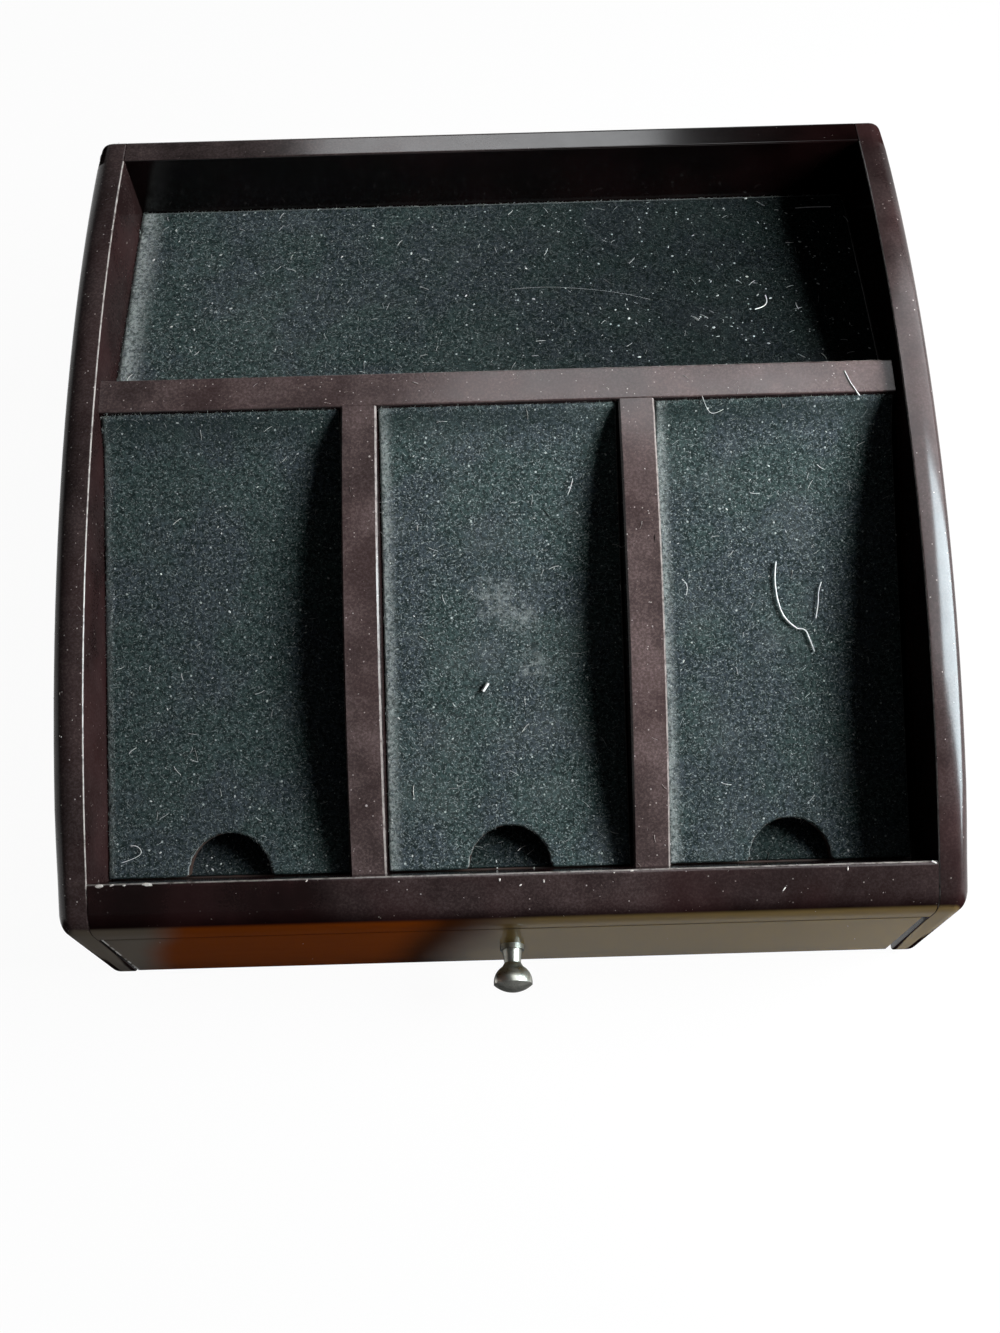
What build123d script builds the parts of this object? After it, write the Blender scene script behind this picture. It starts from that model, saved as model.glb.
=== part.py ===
from build123d import *

import os
from math import acos, atan2, cos, degrees, radians, sin, sqrt, tan

# Cufflink box: a lacquered case whose sides sweep down to the front in one long curve.  Behind a
# cross partition lies a flat tray; in front of it three bays run down the slope, each with a loose
# felt-faced tray that lifts out by a half-round finger notch.  A drawer slides in under the bays.
# Millimetres.  X runs across, Y from front to back, Z up.  The origin lies on the ground, at the
# middle of the whole object, its knob included.

# ---------------------------------------------------------------- driving dimensions
# case
case_width = 270.0
case_depth = 258.0
case_height = 115.0             # at the crest of the sides' curved top
crest_distance = 240.0          # front face to the crest
top_curve_radius = 474.0
side_thickness = 10.0
back_thickness = 10.0
outer_round = 5.0               # rounding of the sides' outer edges
nose_round = 9.0                # rounding over the front of the rail and the sides
back_round = 2.0                # rounding of the edges round the back face
arris = 0.6                     # slight softening of the sharp inner edges

# horizontal boards of the case
base_thickness = 4.0
base_rabbet = 4.0               # how far the base board is let into the sides and the back
floor_thickness = 4.0
floor_step = 6.2                # top of the floor board below the rail's bottom edge
floor_groove = 3.0              # how far the floor board is let into the sides and the back

# front rail
rail_front_height = 8.75        # at the front face, before its edge is rounded
rail_top_depth = 12.4           # front face to the rail's rear top edge
rail_lean = 20.0                # degrees by which its rear face leans back as it goes down
rail_arris = 1.2

# partition and dividers, one glued comb that drops in between the sides
insert_thickness = 11.2
insert_play = 1.2               # the comb is this much narrower than the case inside
insert_drop = 4.0               # its top lies this far below the tops of the sides
partition_distance = 149.8      # front face of the case to the partition's front face
divider_lip = 7.5               # the dividers' front ends stand this far above the bays' felt
divider_bulge = 6.8             # rise of the dividers' curved top above its chord

# felt
felt_thickness = 1.0
felt_margin = 0.3               # felt on a board stops this far short of the walls

# flat tray behind the partition
rear_tray_drop = 23.0           # top of its board below the crest
rear_tray_thickness = 3.0
cleat_size = 7.0

# sloping trays
tray_board_thickness = 2.5
tray_seat_drop = 7.9            # underside of a tray's rear end below the partition's front top edge
tray_side_gap = 0.4
tray_end_gap = 0.4
tray_foot_gap = 0.7             # between a tray's front edge and the rail
seat_gap = 0.3                  # a loose piece and what it rests on
ledge_size = 6.0
notch_radius = 12.5
notch_inset = 0.6               # centre of the notch behind the tray's front edge
notch_mouth_round = 1.5

# drawer
drawer_front_thickness = 10.0
drawer_gap_left = 0.5
drawer_gap_right = 1.9
drawer_gap_top = 0.5
drawer_ground_gap = 0.6
drawer_rear_gap = 0.8           # between the drawer front and the rail and boards behind it
drawer_run_gap = 0.3            # between the drawer box and the base board and stops
drawer_head_gap = 1.3           # between the drawer box and the floor board above it
drawer_wall = 6.0
drawer_lap = 4.0                # how far the drawer's sides lap into its front
drawer_bottom_thickness = 3.0
drawer_bottom_lift = 2.0
drawer_bottom_groove = 3.0
stop_depth = 4.7                # along the drawer's travel
stop_width = 14.0
stop_height = 10.0
stop_inset = 30.0               # outer end of a stop block to the case's inner side

# knob and its screw; lengths are measured out from the drawer front
knob_reach = 14.6
knob_collar_radius = 3.8
knob_collar_length = 1.7
knob_stem_radius = 3.1          # where the stem leaves the collar
knob_neck_radius = 2.6          # where it is thinnest
knob_neck_distance = 5.6
knob_shoulder_step = 0.7        # the head starts this much wider than the neck
knob_head_radius = 6.05
knob_shoulder_round = 5.5
knob_rim_distance = 11.6
knob_rim_width = 0.7
screw_radius = 1.9
screw_clearance = 0.15
screw_head_radius = 3.8
screw_head_height = 2.2
screw_grip = 7.5                # how far the screw reaches into the knob

# ---------------------------------------------------------------- worked-out places
front_y = -(case_depth - knob_reach) / 2
back_y = front_y + case_depth
inner_half = case_width / 2 - side_thickness
back_inner_y = back_y - back_thickness
crest_y = front_y + crest_distance
partition_front_y = front_y + partition_distance
partition_rear_y = partition_front_y + insert_thickness


def side_top(y):
    """Height of the curved top of the sides at a given Y."""
    return case_height - top_curve_radius + sqrt(top_curve_radius**2 - (y - crest_y) ** 2)


rail_top_y = front_y + rail_top_depth
rail_bottom = side_top(front_y) - rail_front_height
floor_top = rail_bottom - floor_step
floor_bottom = floor_top - floor_thickness
rear_tray_top = case_height - rear_tray_drop
rabbet_y = front_y + drawer_front_thickness + drawer_rear_gap


def rail_rear(z):
    """Y of the rail's leaning rear face at a given height."""
    return rail_top_y + (side_top(rail_top_y) - z) * tan(radians(rail_lean))


insert_left = -inner_half
insert_right = inner_half - insert_play
bay_width = (insert_right - insert_left - 2 * insert_thickness) / 3
bay_pitch = bay_width + insert_thickness
bay_names = ("left", "middle", "right")
bay_centres = [insert_left + bay_width / 2 + step * bay_pitch for step in range(3)]
divider_centres = [insert_left + (bay_width + bay_pitch) / 2 + step * bay_pitch for step in range(2)]

bay_felt_top = floor_top + felt_thickness
partition_front_top = side_top(partition_front_y) - insert_drop
divider_front_top = bay_felt_top + divider_lip

# slope of the trays: from the felt behind the rail up to the ledge on the partition
tray_foot_z = bay_felt_top + seat_gap
tray_foot_y = rail_rear(tray_foot_z) + tray_foot_gap
tray_rise = partition_front_top - tray_seat_drop - tray_foot_z
tray_run = partition_front_y - tray_foot_y
tray_slope = atan2(tray_rise, tray_run)
tray_length = (tray_run - tray_end_gap) / cos(tray_slope)
tray_width = bay_width - 2 * tray_side_gap

drawer_left = -inner_half + drawer_gap_left
drawer_right = inner_half - drawer_gap_right
drawer_mid_x = (drawer_left + drawer_right) / 2
drawer_front_top = rail_bottom - drawer_gap_top
stop_front_y = back_inner_y - stop_depth
drawer_rear_y = stop_front_y - drawer_run_gap
drawer_box_low = base_thickness + drawer_run_gap
drawer_box_high = floor_bottom - drawer_head_gap
drawer_bottom_low = drawer_box_low + drawer_bottom_lift
drawer_bottom_high = drawer_bottom_low + drawer_bottom_thickness
drawer_inner_front_y = front_y + drawer_front_thickness
knob_z = (drawer_ground_gap + drawer_front_top) / 2

os.makedirs("parts", exist_ok=True)


def save(builder, label):
    """Name a finished piece and write its file."""
    builder.part.label = label
    export_step(builder.part, "parts/" + label + ".step")


def block(x_range, y_range, z_range, mode=Mode.ADD):
    """Box between two corners, in the active part."""
    low = Vector(x_range[0], y_range[0], z_range[0])
    high = Vector(x_range[1], y_range[1], z_range[1])
    size = high - low
    with Locations(low):
        Box(size.X, size.Y, size.Z, align=(Align.MIN, Align.MIN, Align.MIN), mode=mode)


def top_arc(start_y, end_y, drop=0.0):
    """Arc along the sides' curved top between two Y values, in a line drawn on the YZ plane."""
    middle_y = (start_y + end_y) / 2
    ThreePointArc(
        (start_y, side_top(start_y) - drop),
        (middle_y, side_top(middle_y) - drop),
        (end_y, side_top(end_y) - drop),
    )


# ---------------------------------------------------------------- case
def side_panel(label, outer_x, inward):
    """One side: the curved outline, rounded along its outer edges, with its rabbet and groove inside."""
    inner_x = outer_x + inward * side_thickness
    with BuildPart() as side:
        with BuildSketch(Plane.YZ.offset(min(outer_x, inner_x))):
            with BuildLine():
                Line((front_y, 0), (front_y, side_top(front_y)))
                top_arc(front_y, back_y)
                Line((back_y, side_top(back_y)), (back_y, 0))
                Line((back_y, 0), (front_y, 0))
            make_face()
            fillet(vertices().group_by(Axis.X)[0].sort_by(Axis.Y)[-1], nose_round)
        extrude(amount=side_thickness)
        outer_face = side.faces().filter_by(Axis.X).sort_by(Axis.X)[0 if inward > 0 else -1]
        front_and_top = [
            edge
            for edge in outer_face.edges()
            if edge.center().Z > arris and edge.center().Y < back_y - arris
        ]
        fillet(front_and_top, outer_round)
        back_face = side.faces().filter_by(Axis.Y).sort_by(Axis.Y)[-1]
        upright_edges = back_face.edges().filter_by(Axis.Z).sort_by(Axis.X)
        inner_edge_x = upright_edges[-1 if inward > 0 else 0].center().X
        round_the_back = [
            edge
            for edge in back_face.edges()
            if edge.center().Z > arris and abs(edge.center().X - inner_edge_x) > arris
        ]
        fillet(round_the_back, back_round)
        crest_edge = side.edges().group_by(Axis.X)[-1 if inward > 0 else 0].sort_by(Edge.length)[-1]
        fillet(crest_edge, arris)
        let_in_base = sorted((inner_x, inner_x - inward * base_rabbet))
        let_in_floor = sorted((inner_x, inner_x - inward * floor_groove))
        base_run = (rabbet_y, back_inner_y + base_rabbet)
        floor_run = (rabbet_y, back_inner_y + floor_groove)
        block(let_in_base, base_run, (0, base_thickness), Mode.SUBTRACT)
        block(let_in_floor, floor_run, (floor_bottom, floor_top), Mode.SUBTRACT)
    save(side, label)


side_panel("left_side", -case_width / 2, 1)
side_panel("right_side", case_width / 2, -1)

with BuildPart() as back_panel:
    with BuildSketch(Plane.YZ.offset(-inner_half)):
        with BuildLine():
            Line((back_inner_y, 0), (back_inner_y, side_top(back_inner_y)))
            top_arc(back_inner_y, back_y)
            Line((back_y, side_top(back_y)), (back_y, 0))
            Line((back_y, 0), (back_inner_y, 0))
        make_face()
        fillet(vertices().group_by(Axis.X)[-1].sort_by(Axis.Y)[-1], back_round)
        fillet(vertices().group_by(Axis.X)[0].sort_by(Axis.Y)[-1], arris)
    extrude(amount=2 * inner_half)
    across = (-inner_half, inner_half)
    block(across, (back_inner_y, back_inner_y + base_rabbet), (0, base_thickness), Mode.SUBTRACT)
    block(across, (back_inner_y, back_inner_y + floor_groove), (floor_bottom, floor_top), Mode.SUBTRACT)
save(back_panel, "back_panel")

with BuildPart() as front_rail:
    with BuildSketch(Plane.YZ.offset(-inner_half)):
        with BuildLine():
            Line((front_y, rail_bottom), (front_y, side_top(front_y)))
            top_arc(front_y, rail_top_y)
            Polyline(
                (rail_top_y, side_top(rail_top_y)),
                (rail_rear(floor_top), floor_top),
                (rabbet_y, floor_top),
                (rabbet_y, rail_bottom),
                (front_y, rail_bottom),
            )
        make_face()
        fillet(vertices().group_by(Axis.X)[0].sort_by(Axis.Y)[-1], nose_round)
        fillet(vertices().group_by(Axis.Y)[-1], rail_arris)
    extrude(amount=2 * inner_half)
save(front_rail, "front_rail")

with BuildPart() as base_board:
    block(
        (-inner_half - base_rabbet, inner_half + base_rabbet),
        (rabbet_y, back_inner_y + base_rabbet),
        (0, base_thickness),
    )
save(base_board, "base_board")

with BuildPart() as floor_board:
    block(
        (-inner_half - floor_groove, inner_half + floor_groove),
        (rabbet_y, back_inner_y + floor_groove),
        (floor_bottom, floor_top),
    )
save(floor_board, "floor_board")

with BuildPart() as drawer_stops:
    for inward in (1, -1):
        outer_end = -inward * (inner_half - stop_inset)
        block(
            sorted((outer_end, outer_end + inward * stop_width)),
            (stop_front_y, back_inner_y),
            (base_thickness, base_thickness + stop_height),
        )
save(drawer_stops, "drawer_stops")

# ---------------------------------------------------------------- partition and dividers
with BuildPart() as cross_partition:
    with BuildSketch(Plane.YZ.offset(insert_left)):
        with BuildLine():
            Line((partition_front_y, floor_top), (partition_front_y, partition_front_top))
            top_arc(partition_front_y, partition_rear_y, insert_drop)
            Polyline(
                (partition_rear_y, side_top(partition_rear_y) - insert_drop),
                (partition_rear_y, floor_top),
                (partition_front_y, floor_top),
            )
        make_face()
        fillet(vertices().filter_by(lambda corner: corner.Y > floor_top + arris), arris)
    extrude(amount=insert_right - insert_left)
save(cross_partition, "cross_partition")

for name, centre_x in zip(("left", "right"), divider_centres):
    with BuildPart() as divider:
        with BuildSketch(Plane.YZ.offset(centre_x - insert_thickness / 2)):
            with BuildLine():
                front_top = (rail_rear(divider_front_top), divider_front_top)
                rear_top = (partition_front_y, partition_front_top)
                SagittaArc(front_top, rear_top, divider_bulge)
                Polyline(
                    rear_top,
                    (partition_front_y, floor_top),
                    (rail_rear(floor_top), floor_top),
                    front_top,
                )
            make_face()
        extrude(amount=insert_thickness)
        curved_top = divider.faces().filter_by(GeomType.CYLINDER).sort_by(Axis.Z)[-1]
        chamfer(curved_top.edges().filter_by(GeomType.CIRCLE), arris)
    save(divider, name + "_divider")

# ---------------------------------------------------------------- felt and ledges in the bays
slope_normal = Vector(0, -sin(tray_slope), cos(tray_slope))
ledge_top_z = tray_foot_z + tray_rise - seat_gap / cos(tray_slope)
ledge_front_y = partition_front_y - ledge_size

for name, centre_x in zip(bay_names, bay_centres):
    felt_half = bay_width / 2 - felt_margin
    with BuildPart() as bay_felt:
        block(
            (centre_x - felt_half, centre_x + felt_half),
            (rail_rear(floor_top) + felt_margin, partition_front_y - felt_margin),
            (floor_top, bay_felt_top),
        )
    save(bay_felt, name + "_bay_felt")

    with BuildPart() as ledge:
        with BuildSketch(Plane.YZ.offset(centre_x - bay_width / 2)):
            with BuildLine():
                Polyline(
                    (partition_front_y, ledge_top_z),
                    (ledge_front_y, ledge_top_z - ledge_size * tan(tray_slope)),
                    (ledge_front_y, ledge_top_z - 2 * ledge_size),
                    (partition_front_y, ledge_top_z - 2 * ledge_size),
                    close=True,
                )
            make_face()
        extrude(amount=bay_width)
    save(ledge, name + "_ledge")

# ---------------------------------------------------------------- flat tray behind the partition
rear_tray_low = rear_tray_top - rear_tray_thickness

with BuildPart() as rear_tray_board:
    block(
        (-inner_half, inner_half),
        (partition_rear_y, back_inner_y),
        (rear_tray_low, rear_tray_top),
    )
save(rear_tray_board, "rear_tray_board")

with BuildPart() as rear_tray_felt:
    block(
        (-inner_half + felt_margin, inner_half - felt_margin),
        (partition_rear_y + felt_margin, back_inner_y - felt_margin),
        (rear_tray_top, rear_tray_top + felt_thickness),
    )
save(rear_tray_felt, "rear_tray_felt")

cleat_places = {
    "front_cleat": (partition_rear_y, partition_rear_y + cleat_size),
    "back_cleat": (back_inner_y - cleat_size, back_inner_y),
}
for name, y_range in cleat_places.items():
    with BuildPart() as cleat:
        block((insert_left, insert_right), y_range, (rear_tray_low - cleat_size, rear_tray_low))
    save(cleat, name)


# ---------------------------------------------------------------- sloping trays
def tray_outline():
    """Outline of a tray with its finger notch, in the active sketch; its front edge lies on X."""
    Rectangle(tray_width, tray_length, align=(Align.CENTER, Align.MIN))
    with Locations((0, notch_inset)):
        Circle(notch_radius, mode=Mode.SUBTRACT)
    fillet(vertices().group_by(Axis.Y)[0].sort_by(Axis.X)[1:3], notch_mouth_round)


for name, centre_x in zip(bay_names, bay_centres):
    underside = Plane(
        origin=(centre_x, tray_foot_y, tray_foot_z),
        x_dir=(1, 0, 0),
        z_dir=slope_normal,
    )
    with BuildPart() as tray_board:
        with BuildSketch(underside):
            tray_outline()
        extrude(amount=tray_board_thickness)
    save(tray_board, name + "_tray_board")

    with BuildPart() as tray_felt:
        with BuildSketch(underside.offset(tray_board_thickness)):
            tray_outline()
        extrude(amount=felt_thickness)
    save(tray_felt, name + "_tray_felt")

# ---------------------------------------------------------------- drawer
drawer_box_z = (drawer_box_low, drawer_box_high)
drawer_bottom_z = (drawer_bottom_low, drawer_bottom_high)
drawer_inner_left = drawer_left + drawer_wall
drawer_inner_right = drawer_right - drawer_wall
drawer_inner_rear_y = drawer_rear_y - drawer_wall
lap_y = drawer_inner_front_y - drawer_lap
groove_x = (drawer_inner_left - drawer_bottom_groove, drawer_inner_right + drawer_bottom_groove)
groove_y = (drawer_inner_front_y - drawer_bottom_groove, drawer_inner_rear_y + drawer_bottom_groove)

with BuildPart() as drawer_front:
    block(
        (drawer_left, drawer_right),
        (front_y, drawer_inner_front_y),
        (drawer_ground_gap, drawer_front_top),
    )
    show_face = drawer_front.faces().sort_by(Axis.Y)[0]
    fillet(show_face.edges(), arris)
    for lap_x in ((drawer_left, drawer_inner_left), (drawer_inner_right, drawer_right)):
        block(lap_x, (lap_y, drawer_inner_front_y), drawer_box_z, Mode.SUBTRACT)
    block(groove_x, (groove_y[0], drawer_inner_front_y), drawer_bottom_z, Mode.SUBTRACT)
    with Locations(Location((drawer_mid_x, front_y, knob_z), (-90, 0, 0))):
        Cylinder(
            screw_radius + screw_clearance,
            3 * drawer_front_thickness,
            mode=Mode.SUBTRACT,
        )
save(drawer_front, "drawer_front")

wall_places = {
    "drawer_left_side": (drawer_left, drawer_inner_left),
    "drawer_right_side": (drawer_inner_right, drawer_right),
}
for name, x_range in wall_places.items():
    with BuildPart() as drawer_side:
        block(x_range, (lap_y, drawer_rear_y), drawer_box_z)
        block(groove_x, groove_y, drawer_bottom_z, Mode.SUBTRACT)
    save(drawer_side, name)

with BuildPart() as drawer_back:
    block((drawer_inner_left, drawer_inner_right), (drawer_inner_rear_y, drawer_rear_y), drawer_box_z)
    block(groove_x, groove_y, drawer_bottom_z, Mode.SUBTRACT)
save(drawer_back, "drawer_back")

with BuildPart() as drawer_bottom:
    block(groove_x, groove_y, drawer_bottom_z)
save(drawer_bottom, "drawer_bottom")

with BuildPart() as drawer_felt:
    block(
        (drawer_inner_left + felt_margin, drawer_inner_right - felt_margin),
        (drawer_inner_front_y + felt_margin, drawer_inner_rear_y - felt_margin),
        (drawer_bottom_high, drawer_bottom_high + felt_thickness),
    )
save(drawer_felt, "drawer_felt")

# ---------------------------------------------------------------- knob
knob_axis = Axis((drawer_mid_x, front_y, knob_z), (0, -1, 0))
knob_plane = Plane(origin=(drawer_mid_x, front_y, knob_z), x_dir=(1, 0, 0), z_dir=(0, 0, -1))
shoulder_radius = knob_neck_radius + knob_shoulder_step
shoulder_centre = knob_head_radius - knob_shoulder_round
shoulder_turn = degrees(acos((shoulder_radius - shoulder_centre) / knob_shoulder_round))
shoulder_distance = knob_rim_distance - knob_shoulder_round * sin(radians(shoulder_turn))
rim_end = knob_rim_distance + knob_rim_width
dome_height = knob_reach - rim_end
dome_radius = (knob_head_radius**2 + dome_height**2) / (2 * dome_height)
dome_start = degrees(atan2(dome_radius - dome_height, knob_head_radius))

with BuildPart() as knob:
    with BuildSketch(knob_plane):
        with BuildLine():
            Polyline(
                (0, 0),
                (knob_collar_radius, 0),
                (knob_collar_radius, knob_collar_length),
                (knob_stem_radius, knob_collar_length),
                (knob_neck_radius, knob_neck_distance),
                (shoulder_radius, shoulder_distance),
            )
            CenterArc(
                (shoulder_centre, knob_rim_distance),
                knob_shoulder_round,
                -shoulder_turn,
                shoulder_turn,
            )
            Line((knob_head_radius, knob_rim_distance), (knob_head_radius, rim_end))
            CenterArc((0, knob_reach - dome_radius), dome_radius, dome_start, 90 - dome_start)
            Line((0, knob_reach), (0, 0))
        make_face()
    revolve(axis=knob_axis)
    with Locations(Location((drawer_mid_x, front_y, knob_z), (90, 0, 0))):
        Cylinder(
            screw_radius + screw_clearance,
            screw_grip + screw_clearance,
            align=(Align.CENTER, Align.CENTER, Align.MIN),
            mode=Mode.SUBTRACT,
        )
save(knob, "knob")

with BuildPart() as knob_screw:
    with Locations(Location((drawer_mid_x, front_y - screw_grip, knob_z), (-90, 0, 0))):
        Cylinder(
            screw_radius,
            screw_grip + drawer_front_thickness,
            align=(Align.CENTER, Align.CENTER, Align.MIN),
        )
    with Locations(Location((drawer_mid_x, drawer_inner_front_y, knob_z), (-90, 0, 0))):
        Cylinder(
            screw_head_radius,
            screw_head_height,
            align=(Align.CENTER, Align.CENTER, Align.MIN),
        )
    chamfer(knob_screw.faces().sort_by(Axis.Y)[-1].edges(), screw_head_height / 2)
save(knob_screw, "knob_screw")

print("tray slope", round(degrees(tray_slope), 2), "degrees, length", round(tray_length, 2))
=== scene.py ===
"""Looks of a cufflink box with a drawer: dark lacquer, felt-lined trays, an aged nickel knob."""

from math import atan2, cos, pi, radians, sin, sqrt

import bmesh
import bpy
from mathutils import Matrix, Vector, noise


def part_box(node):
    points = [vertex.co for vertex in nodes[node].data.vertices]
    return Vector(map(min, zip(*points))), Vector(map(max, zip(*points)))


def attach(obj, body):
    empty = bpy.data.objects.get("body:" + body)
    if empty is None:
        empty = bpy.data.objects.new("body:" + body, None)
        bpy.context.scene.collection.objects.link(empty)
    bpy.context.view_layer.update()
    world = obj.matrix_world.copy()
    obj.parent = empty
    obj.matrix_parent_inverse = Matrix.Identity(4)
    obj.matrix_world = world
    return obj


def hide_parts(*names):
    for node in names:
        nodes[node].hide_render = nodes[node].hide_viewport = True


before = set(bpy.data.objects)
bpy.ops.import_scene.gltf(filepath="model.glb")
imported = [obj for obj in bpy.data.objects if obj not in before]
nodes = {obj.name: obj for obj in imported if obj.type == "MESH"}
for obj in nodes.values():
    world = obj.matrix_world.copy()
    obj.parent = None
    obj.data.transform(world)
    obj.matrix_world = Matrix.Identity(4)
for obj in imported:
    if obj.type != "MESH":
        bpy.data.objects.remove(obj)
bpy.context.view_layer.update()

MM = 0.001
same_point = 0.001 * MM
tray_names = ("left", "middle", "right")

# ---------------------------------------------------------------- camera
# The photograph was taken from above the front edge, looking down and slightly turned.
picture_height = 1333
focal_length_px = 1180.3
camera_across = -2.5 * MM
camera_ahead = 91.48 * MM
camera_height = 392.43 * MM
camera_place = Vector((camera_across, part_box("front_rail")[0].y - camera_ahead, camera_height))
camera_pitch = radians(62.886)
camera_yaw = radians(0.157)
camera_roll = radians(-1.471)


def set_camera():
    """Stand the camera where the photograph was taken."""
    view = bpy.data.cameras.new("photo_view")
    view.lens = focal_length_px / picture_height * view.sensor_width
    view.clip_start = 0.01
    stand = bpy.data.objects.new("photo_view", view)
    bpy.context.scene.collection.objects.link(stand)
    ahead = Vector((
        sin(camera_yaw) * cos(camera_pitch),
        cos(camera_yaw) * cos(camera_pitch),
        -sin(camera_pitch),
    ))
    level_right = Vector((cos(camera_yaw), -sin(camera_yaw), 0))
    level_up = level_right.cross(ahead)
    right = level_right * cos(camera_roll) + level_up * sin(camera_roll)
    up = level_up * cos(camera_roll) - level_right * sin(camera_roll)
    turn = Matrix((right, up, -ahead)).transposed()
    stand.matrix_world = Matrix.Translation(camera_place) @ turn.to_4x4()
    bpy.context.scene.camera = stand


# ---------------------------------------------------------------- shader maths
# The back panel and the rounded rear corners of the sides lie behind this distance.
rear_corners = 126 * MM


class Value:
    """An output of a shader node; sums, products and comparisons of values add their own nodes."""

    def __init__(self, finish, socket):
        self.finish = finish
        self.socket = socket

    def maths(self, operation, first, second):
        return self.finish.node("Math", {"operation": operation}, {0: first, 1: second})

    def __add__(self, other):
        return self.maths("ADD", self, other)

    def __radd__(self, other):
        return self.maths("ADD", other, self)

    def __sub__(self, other):
        return self.maths("SUBTRACT", self, other)

    def __rsub__(self, other):
        return self.maths("SUBTRACT", other, self)

    def __mul__(self, other):
        return self.maths("MULTIPLY", self, other)

    def __gt__(self, other):
        return self.maths("GREATER_THAN", self, other)

    def __lt__(self, other):
        return self.maths("LESS_THAN", self, other)

    def __abs__(self):
        return self.maths("ABSOLUTE", self, 0.0)


class Finish:
    """A material with its pattern on Object coordinates; settings go on the shader's own sockets."""

    def __init__(self, name, **settings):
        self.material = bpy.data.materials.new(name)
        self.material.use_nodes = True
        self.tree = self.material.node_tree
        self.surface = self.tree.nodes["Principled BSDF"]
        for socket, value in settings.items():
            self.fill(self.surface.inputs[socket.replace("_", " ")], value)
        self.place = self.node("TexCoord", output="Object")

    def node(self, kind, settings=None, inputs=None, output=0):
        """A node of that kind with its settings made, its sockets filled, and one of its outputs."""
        made = self.tree.nodes.new("ShaderNode" + kind)
        for key, value in (settings or {}).items():
            setattr(made, key, value)
        for key, value in (inputs or {}).items():
            self.fill(made.inputs[key], value)
        return Value(self, made.outputs[output])

    def fill(self, socket, value):
        """Link a value to a socket, or set a number or colour on it."""
        if isinstance(value, Value):
            self.tree.links.new(value.socket, socket)
        elif isinstance(value, tuple) and len(value) == 3 and len(socket.default_value) == 4:
            socket.default_value = (*value, 1)
        else:
            socket.default_value = value

    def set(self, socket, value):
        """Fill a socket of the surface shader."""
        self.fill(self.surface.inputs[socket], value)

    def noise(self, size, detail=3.0, stretch=(1, 1, 1), turn=0.0, roughness=0.5):
        """Cloudy pattern from 0 to 1 with patches of that size, drawn out along its turned axes."""
        sockets = {"Vector": self.place, "Rotation": (0, 0, turn), "Scale": stretch}
        laid = self.node("Mapping", {"vector_type": "TEXTURE"}, sockets)
        sockets = {"Vector": laid, "Scale": 1 / size, "Detail": detail, "Roughness": roughness}
        return self.node("TexNoise", {}, sockets)

    def cells(self, size, output="Distance"):
        """Scattered points about that far apart: the distance to the nearest, or its own colour."""
        return self.node("TexVoronoi", {}, {"Vector": self.place, "Scale": 1 / size}, output)

    def step(self, value, low, high):
        """0 below low, 1 above high and smooth between them."""
        sockets = {"Value": value, "From Min": low, "From Max": high}
        return self.node("MapRange", {"interpolation_type": "SMOOTHSTEP"}, sockets)

    def mix(self, share, first, second):
        """Blend of two colours."""
        sockets = {0: share, 6: first, 7: second}
        return self.node("Mix", {"data_type": "RGBA"}, sockets, 2)

    def axis(self, name):
        """One coordinate of the surface point, in metres."""
        return self.node("SeparateXYZ", {}, {0: self.place}, name)

    def facing(self, name):
        """One coordinate of the surface's normal."""
        normal = self.node("NewGeometry", output="Normal")
        return self.node("SeparateXYZ", {}, {0: normal}, name)

    def span(self, axis, start, full, least=0.0):
        """Share along an axis: least before the start and 1 from where it is full, in millimetres."""
        return self.step(self.axis(axis), start * MM, full * MM) * (1 - least) + least

    def arris(self, axis, side):
        """Mask of the narrow edge between an upper face and a face that looks along that axis."""
        turned = self.facing(axis) * side
        edge = self.step(turned, 0.22, 0.50) * (1 - self.step(turned, 0.80, 0.93))
        worn_and_lit = self.step(self.noise(3.2 * MM, 4, roughness=0.65), 0.30, 0.58)
        short_of_back = self.axis("Y") < rear_corners
        return edge * self.step(self.facing("Z"), 0.25, 0.45) * (worn_and_lit * 0.75 + 0.25) * short_of_back

    def specks(self, spacing, radius, share):
        """Mask of small round specks: of points so far apart, a share carries one of that radius."""
        picked = self.node("SeparateColor", {}, {0: self.cells(spacing, "Color")}, "Red") < share
        inside = 1 - self.step(self.cells(spacing), 0.6 * radius / spacing, radius / spacing)
        return picked * inside

    def bump(self, height, depth):
        """Raise the surface by a pattern from 0 to 1 times that depth, in metres."""
        sockets = {"Height": height, "Distance": depth, "Strength": 1.0}
        self.set("Normal", self.node("Bump", {}, sockets))


# ---------------------------------------------------------------- finishes
espresso_black = (0.0065, 0.0022, 0.0022)
espresso_brown = (0.019, 0.0068, 0.0068)
settled_dust = (0.205, 0.150, 0.145)
dust_speck = (0.62, 0.56, 0.53)
# Pale arris colour: bare wood worn through, and in part a painted highlight.
bare_edge_and_highlight = (0.50, 0.47, 0.44)
# Painted reflections on the front faces: olive, grey and orange.
bare_chip = (0.85, 0.82, 0.78)
reflection_olive = (0.158, 0.100, 0.022)
reflection_grey = (0.128, 0.102, 0.074)
reflection_orange = (0.225, 0.047, 0.0035)
reflection_orange_dark = (0.175, 0.036, 0.0025)
reflection_brown_dark = (0.050, 0.014, 0.0030)
# Between these distances from the middle the front faces carry a painted orange reflection.
reflection_left = -122 * MM
reflection_right = -32 * MM


def toned(colour, tone):
    """A colour made lighter or darker as a whole."""
    return tuple(share * tone for share in colour)


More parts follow.
